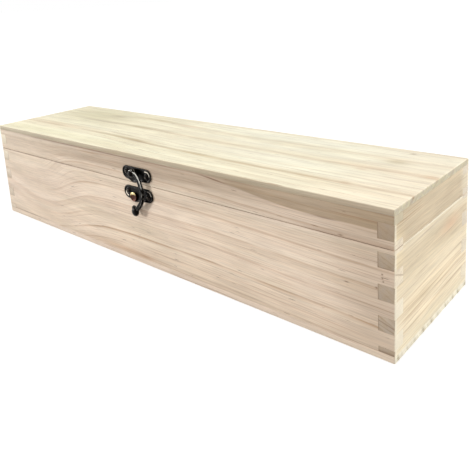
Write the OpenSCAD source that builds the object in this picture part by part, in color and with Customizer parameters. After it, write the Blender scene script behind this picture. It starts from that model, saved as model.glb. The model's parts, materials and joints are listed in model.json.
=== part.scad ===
// Long wooden wine box: finger-jointed pine walls, glued top and bottom panels,
// a lid sawn off the closed box, two butt hinges behind and a swing-hook latch in front.
// X runs along the length, Y from front to back, Z up. The origin is the centre of the underside.

/* [Box] */
// Outside length of the box
box_l = 402; // [300:1:500]
// Outside depth of the box, from front to back
box_w = 102; // [80:1:160]
// Height of the base, with its bottom panel
base_h = 64; // [50:0.5:120]
// Height of the lid, with its top panel
lid_h = 21.7; // [18:0.1:60]
// Gap between the shut lid and the base
lid_gap = 0.3; // [0.2:0.05:0.5]
// Thickness of the four walls
wall_t = 9.5; // [7:0.5:12]
// Thickness of the bottom panel
bottom_t = 4.3; // [3:0.1:8]
// Thickness of the top panel
top_t = 3.6; // [3:0.1:8]
// Width of the flat that eases the outer edges
edge_ease = 0.5; // [0.3:0.1:1]

/* [Finger joints] */
// Height of one finger
finger_h = 9; // [6:0.5:14]
// Height of the lower edge of the lowest end-wall finger, before the bottom panel covers it
finger_start = -1.3; // [-6:0.1:0]
// Width of the saw cut that parted the lid from the base
saw_kerf = 2.3; // [1:0.1:3]

/* [Latch] */
// Distance of the latch from the middle of the front, to the right
latch_x = 1.4; // [-20:0.1:20]
// Length of each latch plate
plate_l = 32; // [28:0.5:40]
// Radius of the round ends of each latch plate
plate_end_r = 5; // [4.6:0.1:5.6]
// Thickness of each latch plate
plate_t = 1; // [0.8:0.1:1.5]
// Bevel along the front edge of each latch plate
plate_bevel = 0.5; // [0.2:0.1:0.6]
// Distance between the two screws of a latch plate
plate_screw_gap = 22; // [20:0.5:23]
// Height of a plate's left screw over its middle, and of its right screw under it
screw_stagger = 0.8; // [0:0.1:1]
// Radius of the lobe at the lower edge of each latch plate
lobe_r = 4; // [3.5:0.1:4.5]
// Distance from the middle of a latch plate down to the middle of its lobe
lobe_drop = 3; // [2.5:0.1:3]
// Distance of the lobe from the middle of its plate, to the left
lobe_left = 4.2; // [3:0.1:6]
// Height of the lid plate's middle over the lower edge of the lid
lid_plate_rise = 7.1; // [7.1:0.1:9]
// Depth of the base plate's middle under the upper edge of the base
base_plate_drop = 7.7; // [6:0.1:10]
// Distance of the hook's rivet from the middle of the lid plate, to the left
rivet_left = 2.4; // [1:0.1:4]
// Height of the hook's rivet over the middle of the lid plate
rivet_rise = 0.8; // [0:0.1:1.2]
// Radius of the hook's rivet
rivet_r = 1.1; // [0.8:0.1:1.4]
// Radius of the boss under the hook's head
boss_r = 3; // [2.6:0.1:3.4]
// Distance from the wood to the back of the hook
hook_off = 2.4; // [2.2:0.1:4]
// Thickness of the hook
hook_t = 2.1; // [1.6:0.1:3]
// Width of the hook's arm
hook_w = 3.4; // [2.6:0.1:3.8]
// Bevel along the edges of the hook
hook_bevel = 0.6; // [0.3:0.1:0.7]
// Radius of the hook's head
hook_head_r = 3.1; // [2.8:0.1:3.6]
// How far the hook's head stands proud of its arm, in front and behind
head_proud = 0.1; // [0.05:0.05:0.3]
// Angle over the horizontal at which the arm leaves the hook's head
hook_lean = 18; // [10:1:25]
// Radius of the first bend, over the shoulder
shoulder_r = 5.7; // [5:0.1:7]
// Radius of the long bend that passes the seam
back_r = 24; // [20:0.5:30]
// Angle of the long bend
back_turn = 30; // [25:1:35]
// Radius of the bend under the catch
elbow_r = 13; // [11:0.5:15]
// Angle of the bend under the catch
elbow_turn = 45; // [38:1:50]
// Length of the straight tail, up to the middle of the finger knob
tail_l = 7.5; // [6:0.1:9]
// Radius of the finger knob
knob_r = 3.5; // [3:0.1:4.2]
// Thickness of the finger knob
knob_t = 2.5; // [2.1:0.1:2.6]
// Radius of the small curl beside the finger knob
curl_r = 1.9; // [1.6:0.1:2.2]
// Angle from the tail's direction back to the curl
curl_turn = 116; // [105:1:125]
// Distance of the catch from the middle of the base plate, to the left
catch_left = 4.8; // [3.5:0.1:5.5]
// Distance of the catch under the middle of the base plate
catch_drop = 3; // [2.5:0.1:3.5]
// Radius of the catch's head
catch_r = 3.6; // [3:0.1:3.8]
// Radius of the catch's neck
catch_neck_r = 2.8; // [2.2:0.1:3]

/* [Hinges] */
// Distance from the middle of each hinge to the nearer end of the box
hinge_inset = 71; // [40:1:110]
// Length of each hinge
hinge_l = 26; // [20:0.5:36]
// Distance from the hinge line to the far edge of a leaf
leaf_h = 11; // [10:0.5:14]
// Thickness of a leaf
leaf_t = 0.9; // [0.7:0.1:1.2]
// Number of knuckles of each hinge, an odd one
knuckle_count = 5; // [3:2:7]
// Outer radius of the knuckles
knuckle_r = 1.7; // [1.5:0.1:2.2]
// Radius of the hinge pin
pin_r = 0.8; // [0.6:0.1:1]
// Length of each head of the hinge pin
pin_head_l = 0.6; // [0.4:0.1:1]
// Distance between the two screws of a leaf
leaf_screw_gap = 15; // [12:0.5:15]
// Distance from the hinge line to the screws of a leaf
leaf_screw_rise = 6.6; // [6:0.1:7.2]

/* [Screws] */
// Radius of a screw's head
screw_head_r = 1.9; // [1.6:0.1:2.2]
// Height of a screw's head
screw_head_h = 0.9; // [0.7:0.1:1.2]
// Radius of a screw's shank
screw_r = 0.85; // [0.6:0.05:1]
// Length of a screw's point
screw_point_l = 2; // [1:0.1:3]
// Wood left between a screw's point and the inside of the wall
screw_cover = 2.5; // [2:0.1:4]
// Width of the cross slot in a screw's head
slot_w = 0.45; // [0.3:0.05:0.6]
// Depth of the cross slot in a screw's head
slot_d = 0.45; // [0.3:0.05:0.6]

/* [Clearances] */
// Radial clearance of a pin or rivet in what turns on it
running_gap = 0.05; // [0.02:0.01:0.08]
// Radial clearance of a screw or rivet in the piece that it fastens
fastener_gap = 0.05; // [0.02:0.01:0.1]
// Gap between pieces that pass each other
passing_gap = 0.3; // [0.2:0.05:0.5]
// Play of the hook between its boss and the head of its rivet, on each side
hook_play = 0.1; // [0.05:0.01:0.2]

/* [Hidden] */
$fn = 64;
box_h = base_h + lid_gap + lid_h;
lid_low = base_h + lid_gap;
lid_drop = saw_kerf - lid_gap;
finger_pitch = 2 * finger_h;
finger_rows = ceil((box_h + saw_kerf) / finger_pitch);
over = 1;
hinge_z = base_h + lid_gap / 2;
hinge_x = box_l / 2 - hinge_inset;
hinge_off = passing_gap + knuckle_r;
knuckle_l = (hinge_l - (knuckle_count - 1) * passing_gap) / knuckle_count;
knuckle_pitch = knuckle_l + passing_gap;
lid_plate_z = lid_low + lid_plate_rise;
base_plate_z = base_h - base_plate_drop;
rivet_z = lid_plate_z + rivet_rise;
catch_z = base_plate_z - catch_drop;
catch_top = hook_off - passing_gap;
boss_h = hook_off - head_proud - hook_play;
rivet_head_z = hook_off + hook_t + head_proud + hook_play;
rivet_tail_h = plate_t / 2;
rivet_tail_flare = 0.5;
rivet_head_r = 2 * rivet_r;
rivet_head_h = 0.9 * rivet_r;
shoulder_turn = hook_lean + 90 - back_turn;
arm_lap = 0.4;
arm_step = 0.05;
pine = "burlywood";
pine_light = "wheat";
pine_end = "tan";
bronze = "#40352b";
bronze_dark = "#2b241e";
brass = "#8a6d3b";

// ---- Boards ----

// Rectangle about the origin with its corners cut off
module eased_rect(a, b) {
    x = a / 2;
    y = b / 2;
    e = edge_ease;
    polygon([
        [-x + e, -y], [x - e, -y], [x, -y + e], [x, y - e],
        [x - e, y], [-x + e, y], [-x, y - e], [-x, -y + e]
    ]);
}

// The whole shut box as one block with its outer edges eased, which every board is trimmed to
module eased_box() {
    translate([0, 0, box_h / 2])
        intersection() {
            linear_extrude(box_h, center = true) eased_rect(box_l, box_w);
            rotate([90, 0, 0]) linear_extrude(box_w, center = true) eased_rect(box_l, box_h);
            rotate([90, 0, 90]) linear_extrude(box_l, center = true) eased_rect(box_w, box_h);
        }
}

// Lower edge of the end-wall finger in one row, on the base (drop = 0) or on the lid
function finger_z(row, drop) = finger_start + row * finger_pitch - drop;

// Front wall (side = -1) or back wall (side = 1) between two heights, notched for the end walls
module long_wall(side, low, high, drop) {
    notch_l = wall_t + over;
    intersection() {
        eased_box();
        difference() {
            translate([0, side * (box_w - wall_t) / 2, (low + high) / 2])
                cube([box_l, wall_t, high - low], center = true);
            for (end = [-1, 1], row = [0 : finger_rows])
                translate([
                    end * (box_l / 2 - wall_t + notch_l / 2),
                    side * (box_w - wall_t) / 2,
                    finger_z(row, drop) + finger_h / 2
                ])
                    cube([notch_l, wall_t + 2 * over, finger_h], center = true);
        }
    }
}

// Left wall (end = -1) or right wall (end = 1) between two heights, notched for the long walls
module end_wall(end, low, high, drop) {
    notch_w = wall_t + over;
    intersection() {
        eased_box();
        difference() {
            translate([end * (box_l - wall_t) / 2, 0, (low + high) / 2])
                cube([wall_t, box_w, high - low], center = true);
            for (side = [-1, 1], row = [0 : finger_rows])
                translate([
                    end * (box_l - wall_t) / 2,
                    side * (box_w / 2 - wall_t + notch_w / 2),
                    finger_z(row, drop) + 1.5 * finger_h
                ])
                    cube([wall_t + 2 * over, notch_w, finger_h], center = true);
        }
    }
}

// Panel over the whole footprint, between two heights
module panel(low, high) {
    intersection() {
        eased_box();
        translate([0, 0, (low + high) / 2]) cube([box_l, box_w, high - low], center = true);
    }
}

// ---- Places ----

// On the front of the box: x to the right, y up, z out of the wood
module on_front(x, z) {
    translate([x, -box_w / 2, z]) rotate([90, 0, 0]) children();
}

// On the back of the box: y up, z out of the wood
module on_back(x, z) {
    translate([x, box_w / 2, z]) rotate([90, 0, 180]) children();
}

// The two screws of a latch plate
module at_plate_screws(z) {
    for (side = [-1, 1])
        on_front(latch_x + side * plate_screw_gap / 2, z - side * screw_stagger) children();
}

// The two screws of the base leaf (up = -1) or the lid leaf (up = 1) of the hinge at x
module at_leaf_screws(x, up) {
    for (side = [-1, 1])
        on_back(x + side * leaf_screw_gap / 2, hinge_z + up * leaf_screw_rise) children();
}

// ---- Fasteners ----

// Round-headed wood screw through a plate of the given thickness; z = 0 is the wood's face
module wood_screw(plate) {
    dome_r = (screw_head_r * screw_head_r + screw_head_h * screw_head_h) / (2 * screw_head_h);
    reach = wall_t - screw_cover;
    slot_l = 1.3 * screw_head_r;
    difference() {
        union() {
            intersection() {
                translate([0, 0, plate + screw_head_h - dome_r]) sphere(r = dome_r);
                translate([0, 0, plate]) cylinder(r = screw_head_r, h = screw_head_h);
            }
            translate([0, 0, screw_point_l - reach])
                cylinder(r = screw_r, h = plate + reach - screw_point_l + screw_head_h / 4);
            translate([0, 0, -reach]) cylinder(r1 = 0, r2 = screw_r, h = screw_point_l);
        }
        for (turn = [45, 135])
            rotate([0, 0, turn])
                translate([0, 0, plate + screw_head_h - slot_d / 2])
                    cube([slot_l, slot_w, slot_d + screw_head_h / 4], center = true);
    }
}

// Pilot hole of a wood screw, from outside the wood to its point
module screw_hole() {
    reach = wall_t - screw_cover + fastener_gap;
    translate([0, 0, -reach]) cylinder(r = screw_r + fastener_gap, h = reach + 2 * over);
}

// Rivet of radius r through a plate, flared behind it, up to the given height over the wood
module rivet_shank(r, top) {
    translate([0, 0, fastener_gap]) cylinder(r = r, h = top - fastener_gap);
    translate([0, 0, fastener_gap])
        cylinder(r1 = r + rivet_tail_flare, r2 = r, h = rivet_tail_h);
}

// Hole for such a rivet, with the countersink for its flare
module rivet_hole(r, top) {
    bore = r + fastener_gap;
    translate([0, 0, -over]) cylinder(r = bore, h = top + 2 * over);
    cylinder(r1 = bore + rivet_tail_flare, r2 = bore, h = rivet_tail_h + fastener_gap);
    translate([0, 0, -over]) cylinder(r = bore + rivet_tail_flare, h = over);
}

// ---- Latch ----

// Disc with a bevelled front edge
module bevelled_disc(r, h, bevel) {
    rotate_extrude() polygon([[0, 0], [r, 0], [r, h - bevel], [r - bevel, h], [0, h]]);
}

// Bar with bevelled front edges between two points, over half its width to each side
module bevelled_bar(from, to, half_w, h, bevel) {
    run = to - from;
    translate([(from.x + to.x) / 2, (from.y + to.y) / 2, 0])
        rotate([0, 0, atan2(run.y, run.x)])
            rotate([90, 0, 90])
                linear_extrude(norm(run), center = true)
                    polygon([
                        [-half_w, 0], [half_w, 0], [half_w, h - bevel],
                        [half_w - bevel, h], [bevel - half_w, h], [-half_w, h - bevel]
                    ]);
}

// Plate with round ends and a lobe under its middle
module plate() {
    half_l = plate_l / 2 - plate_end_r;
    lobe = [-lobe_left, -lobe_drop];
    bevelled_bar([-half_l, 0], [half_l, 0], plate_end_r, plate_t, plate_bevel);
    for (side = [-1, 1]) {
        translate([side * half_l, 0, 0]) bevelled_disc(plate_end_r, plate_t, plate_bevel);
        bevelled_bar([side * half_l, 0], lobe, lobe_r, plate_t, plate_bevel);
    }
    translate(lobe) bevelled_disc(lobe_r, plate_t, plate_bevel);
}

// Holes of a plate for its two screws
module plate_screw_holes() {
    for (side = [-1, 1])
        translate([side * plate_screw_gap / 2, -side * screw_stagger, -over])
            cylinder(r = screw_r + fastener_gap, h = plate_t + 2 * over);
}

// Section of the hook's arm, slimmer all round by the given amount: x across, y out of the wood
module arm_section(slim) {
    x = hook_w / 2 - slim;
    t = hook_t - 2 * slim;
    b = hook_bevel;
    translate([0, hook_off + slim])
        polygon([
            [-x, b / 2], [b / 2 - x, 0], [x - b / 2, 0], [x, b / 2],
            [x, t - b], [x - b, t], [b - x, t], [-x, t - b]
        ]);
}

// Arm that turns right by an angle, with what follows at its end. Each stretch starts a little
// inside the one before, which is less slim
module bend(r, turn, slim) {
    sweep = turn + arm_lap / r * 180 / PI;
    translate([0, -r, 0]) {
        rotate([0, 0, 90 - turn])
            rotate_extrude(angle = sweep) translate([r, 0]) arm_section(slim);
        rotate([0, 0, -turn]) translate([0, r, 0]) children();
    }
}

// Straight arm, with what follows at its end
module straight(l, slim) {
    translate([-arm_lap, 0, 0])
        rotate([90, 0, 90]) linear_extrude(l + arm_lap) arm_section(slim);
    translate([l, 0, 0]) children();
}

// Button with a half-round edge, centred on the hook's thickness
module round_button(r) {
    edge_r = knob_t / 2;
    translate([0, 0, hook_off + hook_t / 2])
        rotate_extrude()
            intersection() {
                union() {
                    translate([0, -edge_r]) square([r - edge_r, knob_t]);
                    translate([r - edge_r, 0]) circle(r = edge_r, $fn = 32);
                }
                translate([0, -edge_r]) square([r, knob_t]);
            }
}

// ---- Hinges ----

// Leaf of a hinge: up = -1 for the base leaf, up = 1 for the lid leaf. y = 0 is the hinge line
module leaf(up) {
    room = knuckle_r + passing_gap;
    first = up < 0 ? 0 : 1;
    difference() {
        union() {
            translate([0, up * (leaf_h + room) / 2, leaf_t / 2])
                cube([hinge_l, leaf_h - room, leaf_t], center = true);
            for (i = [first : 2 : knuckle_count - 1])
                translate([(i - (knuckle_count - 1) / 2) * knuckle_pitch, 0, 0]) {
                    translate([0, up * (room + over) / 2, leaf_t / 2])
                        cube([knuckle_l, room + over, leaf_t], center = true);
                    translate([0, 0, hinge_off])
                        rotate([0, 90, 0]) cylinder(r = knuckle_r, h = knuckle_l, center = true);
                }
        }
        translate([0, 0, hinge_off])
            rotate([0, 90, 0]) cylinder(r = pin_r + running_gap, h = hinge_l + over, center = true);
        for (side = [-1, 1])
            translate([side * leaf_screw_gap / 2, up * leaf_screw_rise, -over])
                cylinder(r = screw_r + fastener_gap, h = leaf_t + 2 * over);
    }
}

// Pin with a flat head beyond each end of the hinge
module hinge_pin() {
    head_r = (pin_r + knuckle_r) / 2;
    head_x = hinge_l / 2 + running_gap;
    translate([0, 0, hinge_off])
        rotate([0, 90, 0]) {
            cylinder(r = pin_r, h = 2 * head_x + pin_head_l, center = true);
            for (end = [-1, 1])
                translate([0, 0, end * (head_x + pin_head_l / 2)])
                    cylinder(r = head_r, h = pin_head_l, center = true);
        }
}

// ---- Sub-parts of the base ----

module base_front() {
    color(pine)
        difference() {
            long_wall(-1, bottom_t, base_h, 0);
            at_plate_screws(base_plate_z) screw_hole();
        }
}

module base_back() {
    color(pine)
        difference() {
            long_wall(1, bottom_t, base_h, 0);
            for (x = [-hinge_x, hinge_x]) at_leaf_screws(x, -1) screw_hole();
        }
}

module base_left_end() {
    color(pine_end) end_wall(-1, bottom_t, base_h, 0);
}

module base_right_end() {
    color(pine_end) end_wall(1, bottom_t, base_h, 0);
}

module base_bottom() {
    color(pine_light) panel(0, bottom_t);
}

// ---- Sub-parts of the lid ----

module lid_front() {
    color(pine)
        difference() {
            long_wall(-1, lid_low, box_h - top_t, lid_drop);
            at_plate_screws(lid_plate_z) screw_hole();
        }
}

module lid_back() {
    color(pine)
        difference() {
            long_wall(1, lid_low, box_h - top_t, lid_drop);
            for (x = [-hinge_x, hinge_x]) at_leaf_screws(x, 1) screw_hole();
        }
}

module lid_left_end() {
    color(pine_end) end_wall(-1, lid_low, box_h - top_t, lid_drop);
}

module lid_right_end() {
    color(pine_end) end_wall(1, lid_low, box_h - top_t, lid_drop);
}

module lid_top() {
    color(pine_light) panel(box_h - top_t, box_h);
}

// ---- Sub-parts of the hinges ----

module hinge_leaf(x, up) {
    color(bronze) on_back(x, hinge_z) leaf(up);
}

module hinge_pin_at(x) {
    color(bronze_dark) on_back(x, hinge_z) hinge_pin();
}

module hinge_screws(x, up) {
    color(bronze_dark) at_leaf_screws(x, up) wood_screw(leaf_t);
}

module hinge_left_base_leaf() {
    hinge_leaf(-hinge_x, -1);
}

module hinge_left_lid_leaf() {
    hinge_leaf(-hinge_x, 1);
}

module hinge_left_pin() {
    hinge_pin_at(-hinge_x);
}

module hinge_left_base_screws() {
    hinge_screws(-hinge_x, -1);
}

module hinge_left_lid_screws() {
    hinge_screws(-hinge_x, 1);
}

module hinge_right_base_leaf() {
    hinge_leaf(hinge_x, -1);
}

module hinge_right_lid_leaf() {
    hinge_leaf(hinge_x, 1);
}

module hinge_right_pin() {
    hinge_pin_at(hinge_x);
}

module hinge_right_base_screws() {
    hinge_screws(hinge_x, -1);
}

module hinge_right_lid_screws() {
    hinge_screws(hinge_x, 1);
}

// ---- Sub-parts of the latch ----

module latch_lid_plate() {
    color(bronze)
        on_front(latch_x, lid_plate_z)
            difference() {
                union() {
                    plate();
                    translate([-rivet_left, rivet_rise, 0]) cylinder(r = boss_r, h = boss_h);
                }
                plate_screw_holes();
                translate([-rivet_left, rivet_rise, 0]) rivet_hole(rivet_r, boss_h);
            }
}

module latch_lid_screws() {
    color(bronze_dark) at_plate_screws(lid_plate_z) wood_screw(plate_t);
}

module latch_rivet() {
    dome_r = (rivet_head_r * rivet_head_r + rivet_head_h * rivet_head_h) / (2 * rivet_head_h);
    color(bronze_dark)
        on_front(latch_x - rivet_left, rivet_z) {
            rivet_shank(rivet_r, rivet_head_z + rivet_head_h / 4);
            intersection() {
                translate([0, 0, rivet_head_z + rivet_head_h - dome_r]) sphere(r = dome_r);
                translate([0, 0, rivet_head_z]) cylinder(r = rivet_head_r, h = rivet_head_h);
            }
        }
}

module latch_hook() {
    color(bronze)
        on_front(latch_x - rivet_left, rivet_z)
            difference() {
                union() {
                    translate([0, 0, hook_off - head_proud])
                        bevelled_disc(hook_head_r, hook_t + 2 * head_proud, hook_bevel);
                    rotate([0, 0, hook_lean])
                        bend(shoulder_r, shoulder_turn, 0)
                            bend(back_r, back_turn, arm_step)
                                bend(elbow_r, elbow_turn, 2 * arm_step)
                                    straight(tail_l, 3 * arm_step) {
                                        round_button(knob_r);
                                        rotate([0, 0, -curl_turn])
                                            translate([knob_r - curl_r / 4, 0, 0])
                                                round_button(curl_r);
                                    }
                }
                translate([0, 0, hook_off - over])
                    cylinder(r = rivet_r + running_gap, h = hook_t + 2 * over);
            }
}

module latch_base_plate() {
    color(bronze)
        on_front(latch_x, base_plate_z)
            difference() {
                plate();
                plate_screw_holes();
                translate([-catch_left, -catch_drop, 0]) rivet_hole(rivet_r, plate_t);
            }
}

module latch_base_screws() {
    color(bronze_dark) at_plate_screws(base_plate_z) wood_screw(plate_t);
}

module latch_catch() {
    head_t = (catch_top - plate_t) * 0.6;
    color(brass)
        on_front(latch_x - catch_left, catch_z) {
            rivet_shank(rivet_r, catch_top - head_t / 2);
            translate([0, 0, plate_t]) cylinder(r = catch_neck_r, h = catch_top - head_t - plate_t);
            translate([0, 0, catch_top - head_t]) bevelled_disc(catch_r, head_t, head_t * 0.7);
        }
}

base_front();
base_back();
base_left_end();
base_right_end();
base_bottom();
lid_front();
lid_back();
lid_left_end();
lid_right_end();
lid_top();
hinge_left_base_leaf();
hinge_left_lid_leaf();
hinge_left_pin();
hinge_left_base_screws();
hinge_left_lid_screws();
hinge_right_base_leaf();
hinge_right_lid_leaf();
hinge_right_pin();
hinge_right_base_screws();
hinge_right_lid_screws();
latch_lid_plate();
latch_lid_screws();
latch_rivet();
latch_hook();
latch_base_plate();
latch_base_screws();
latch_catch();
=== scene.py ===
import json
import math

import bmesh
import bpy
import numpy as np
from mathutils import Matrix, Vector

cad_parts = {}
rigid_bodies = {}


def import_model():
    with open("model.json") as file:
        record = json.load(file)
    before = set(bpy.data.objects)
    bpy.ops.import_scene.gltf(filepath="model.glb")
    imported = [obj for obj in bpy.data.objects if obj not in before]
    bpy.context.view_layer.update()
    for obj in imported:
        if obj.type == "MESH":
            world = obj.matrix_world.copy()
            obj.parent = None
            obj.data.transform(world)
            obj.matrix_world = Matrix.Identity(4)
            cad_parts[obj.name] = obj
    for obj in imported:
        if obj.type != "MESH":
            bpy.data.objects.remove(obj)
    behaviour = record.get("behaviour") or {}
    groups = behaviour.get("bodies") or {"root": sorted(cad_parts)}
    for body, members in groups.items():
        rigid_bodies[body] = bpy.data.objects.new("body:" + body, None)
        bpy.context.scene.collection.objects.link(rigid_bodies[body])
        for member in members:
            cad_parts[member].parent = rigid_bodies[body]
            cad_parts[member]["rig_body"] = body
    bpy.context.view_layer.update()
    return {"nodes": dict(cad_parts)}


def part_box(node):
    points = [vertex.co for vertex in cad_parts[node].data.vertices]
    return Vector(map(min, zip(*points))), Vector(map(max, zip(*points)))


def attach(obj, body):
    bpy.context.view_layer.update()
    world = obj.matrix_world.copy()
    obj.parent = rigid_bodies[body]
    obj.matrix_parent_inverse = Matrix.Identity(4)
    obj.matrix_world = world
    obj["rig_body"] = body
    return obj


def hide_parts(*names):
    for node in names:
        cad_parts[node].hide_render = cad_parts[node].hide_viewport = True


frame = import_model()

# ---- Sizes ----
# The model is in metres. Lengths below are in millimetres unless a comment says otherwise, and these two
# turn one into the other.
MM = 0.001
PER_MM = 1000.0


def node_box(name):
    """Lowest and highest corner of a CAD node, in millimetres."""
    low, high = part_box(name)
    return low * PER_MM, high * PER_MM


panel_low, panel_high = node_box("lid_top")
base_low, base_high = node_box("base_front")
LENGTH = panel_high.x - panel_low.x
DEPTH = panel_high.y - panel_low.y
HEIGHT = panel_high.z
TOP_UNDERSIDE = panel_low.z
SEAM = base_high.z
WALL = base_high.y - base_low.y
LID_LOW = node_box("lid_front")[0].z

# Wood that the saw took between base and lid, less the gap that is left: the grain jumps by it
KERF_LOST = 2.0


# ---- Camera and lamps ----

# The photograph's view: orbit angles and roll in degrees, distance and side shifts in box heights
CAMERA_AZIMUTH, CAMERA_ELEVATION, CAMERA_ROLL = 41.937, 11.981, -3.593
CAMERA_DISTANCE, CAMERA_RIGHT, CAMERA_UP = 5.416, 0.384, 1.185
# Focal length and optical centre, in pixels of the 470 x 470 frame
FRAME_PX = 470
FOCAL_PX = 569.6
CENTRE_PX = (233.4, 115.4)
SENSOR_MM = 36
# The nearest and farthest that the camera sees, in metres
CLIP_START, CLIP_END = 0.01, 50

# Lamps: place and width in metres, power in watts. The front one throws the hook's shadow to the right.
LAMPS = {
    "key": ((-0.2, -0.3, 1.75), 1.2, 16.4),
    "side": ((1.8, 0.1, 0.8), 1.2, 24),
    "front": ((-2.85, -1.88, 0.22), 0.4, 68),
}


def link(name, data):
    """A new object in the scene."""
    made = bpy.data.objects.new(name, data)
    bpy.context.scene.collection.objects.link(made)
    return made


def make_camera():
    a, e, roll = (math.radians(v) for v in (CAMERA_AZIMUTH, CAMERA_ELEVATION, CAMERA_ROLL))
    back = Vector((math.sin(a) * math.cos(e), -math.cos(a) * math.cos(e), math.sin(e)))
    level_right = Vector((0, 0, 1)).cross(back).normalized()
    level_up = back.cross(level_right)
    right = level_right * math.cos(roll) + level_up * math.sin(roll)
    up = level_up * math.cos(roll) - level_right * math.sin(roll)
    data = bpy.data.cameras.new("camera")
    data.sensor_width = SENSOR_MM
    data.lens = FOCAL_PX / FRAME_PX * SENSOR_MM
    data.shift_x = 0.5 - CENTRE_PX[0] / FRAME_PX
    data.shift_y = CENTRE_PX[1] / FRAME_PX - 0.5
    data.clip_start = CLIP_START
    data.clip_end = CLIP_END
    place = right * CAMERA_RIGHT + up * CAMERA_UP + back * CAMERA_DISTANCE
    turn = Matrix((right, up, back)).transposed().to_4x4()
    camera = link("camera", data)
    camera.matrix_world = Matrix.Translation(place * HEIGHT * MM) @ turn
    bpy.context.scene.camera = camera


def make_lamps():
    """Soft square lamps that look at the middle of the box."""
    for name, (place, width, power) in LAMPS.items():
        data = bpy.data.lights.new(name, "AREA")
        data.size = width
        data.energy = power
        lamp = link(name, data)
        lamp.location = place
        aim = Vector((0, 0, HEIGHT * MM / 2)) - lamp.location
        lamp.rotation_mode = "QUATERNION"
        lamp.rotation_quaternion = aim.to_track_quat("-Z", "Y")


# ---- Node graphs ----

class Num:
    """A number in a node graph, which arithmetic builds on."""

    def __init__(self, graph, socket):
        self.graph, self.socket = graph, socket

    def _op(self, operation, *others):
        return self.graph.math(operation, self, *others)

    def __add__(self, other):
        return self._op("ADD", other)

    def __sub__(self, other):
        return self._op("SUBTRACT", other)

    def __mul__(self, other):
        return self._op("MULTIPLY", other)

    def __truediv__(self, other):
        return self._op("DIVIDE", other)

    def __rsub__(self, other):
        return self.graph.math("SUBTRACT", other, self)

    __rmul__ = __mul__

    def max(self, other):
        return self._op("MAXIMUM", other)

    def abs(self):
        return self._op("ABSOLUTE")

    def exp(self):
        return self._op("EXPONENT")

    def bell(self):
        """1 at 0, falling away to both sides within about 2."""
        return (self * self * -1).exp()

    def ramp(self, low, high, to_low=0.0, to_high=1.0):
        """Goes smoothly from to_low at low to to_high at high, and stays there beyond."""
        made = self.graph.node("ShaderNodeMapRange", interpolation_type="SMOOTHSTEP")
        for socket, value in zip(made.inputs, (self, low, high, to_low, to_high)):
            self.graph.feed(socket, value)
        return Num(self.graph, made.outputs[0])


class Graph:
    """The nodes of a material or of the world."""

    def __init__(self, owner):
        owner.use_nodes = True
        self.owner = owner
        self.tree = owner.node_tree
        self.tree.nodes.clear()

    def node(self, kind, **settings):
        made = self.tree.nodes.new(kind)
        for key, value in settings.items():
            setattr(made, key, value)
        return made

    def feed(self, socket, value):
        value = getattr(value, "socket", value)
        if isinstance(value, bpy.types.NodeSocket):
            self.tree.links.new(value, socket)
        else:
            socket.default_value = value

    def math(self, operation, *values):
        made = self.node("ShaderNodeMath", operation=operation)
        for socket, value in zip(made.inputs, values):
            self.feed(socket, value)
        return Num(self, made.outputs[0])

    def coordinates(self, kind):
        """The x, y and z of one kind of texture coordinates."""
        coords = self.node("ShaderNodeTexCoord")
        split = self.node("ShaderNodeSeparateXYZ")
        self.feed(split.inputs[0], coords.outputs[kind])
        return [Num(self, socket) for socket in split.outputs]

    def object_mm(self):
        return [part * PER_MM for part in self.coordinates("Object")]

    def vector(self, *parts):
        made = self.node("ShaderNodeCombineXYZ")
        for socket, value in zip(made.inputs, parts):
            self.feed(socket, value)
        return made.outputs[0]

    def noise(self, *parts, detail=2.0, rough=0.5):
        """Smooth noise from 0 to 1 over one, two or three coordinates, about one lump to a unit."""
        made = self.node("ShaderNodeTexNoise", noise_dimensions=f"{len(parts)}D")
        if len(parts) == 1:
            self.feed(made.inputs["W"], parts[0])
        else:
            self.feed(made.inputs["Vector"], self.vector(*parts))
        made.inputs["Scale"].default_value = 1
        made.inputs["Detail"].default_value = detail
        made.inputs["Roughness"].default_value = rough
        return Num(self, made.outputs[0])

    def mix(self, factor, a, b, blend="MIX"):
        made = self.node("ShaderNodeMix", data_type="RGBA", blend_type=blend)
        self.feed(made.inputs["Factor"], factor)
        self.feed(made.inputs[6], a)
        self.feed(made.inputs[7], b)
        return made.outputs[2]

    def grey(self, value):
        made = self.node("ShaderNodeCombineColor")
        for socket in made.inputs:
            self.feed(socket, value)
        return made.outputs[0]

    def bumped(self, shader, height, strength, distance):
        """Gives a shader a bump of the given height and of a distance in millimetres."""
        bump = self.node("ShaderNodeBump")
        bump.inputs["Strength"].default_value = strength
        bump.inputs["Distance"].default_value = distance * MM
        self.feed(bump.inputs["Height"], height)
        self.feed(shader.inputs["Normal"], bump.outputs[0])

    def finish(self, shader, output="ShaderNodeOutputMaterial"):
        self.feed(self.node(output).inputs["Surface"], shader.outputs[0])
        return self.owner


def new_graph(name):
    return Graph(bpy.data.materials.new(name))


# ---- Stage ----

WHITE = (1, 1, 1, 1)
# Strength of the light from all round
AMBIENT = 0.31
# The floor's width in metres, its own glow near the object, where the shadow shows, and in the distance,
# and how far from the middle the one turns into the other
FLOOR_SIZE = 40
FLOOR_GLOW, FLOOR_FAR_GLOW = 0.6, 1.25
FLOOR_NEAR, FLOOR_FAR = 350, 1500
FLOOR_TONE = (0.55, 0.55, 0.55, 1)


def seen_directly(graph):
    """1 for rays from the camera and for reflections, 0 for the light that falls on things."""
    path = graph.node("ShaderNodeLightPath")
    rays = ("Is Camera Ray", "Is Glossy Ray", "Is Transmission Ray")
    seen = [Num(graph, path.outputs[ray]) for ray in rays]
    return seen[0].max(seen[1]).max(seen[2])


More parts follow.
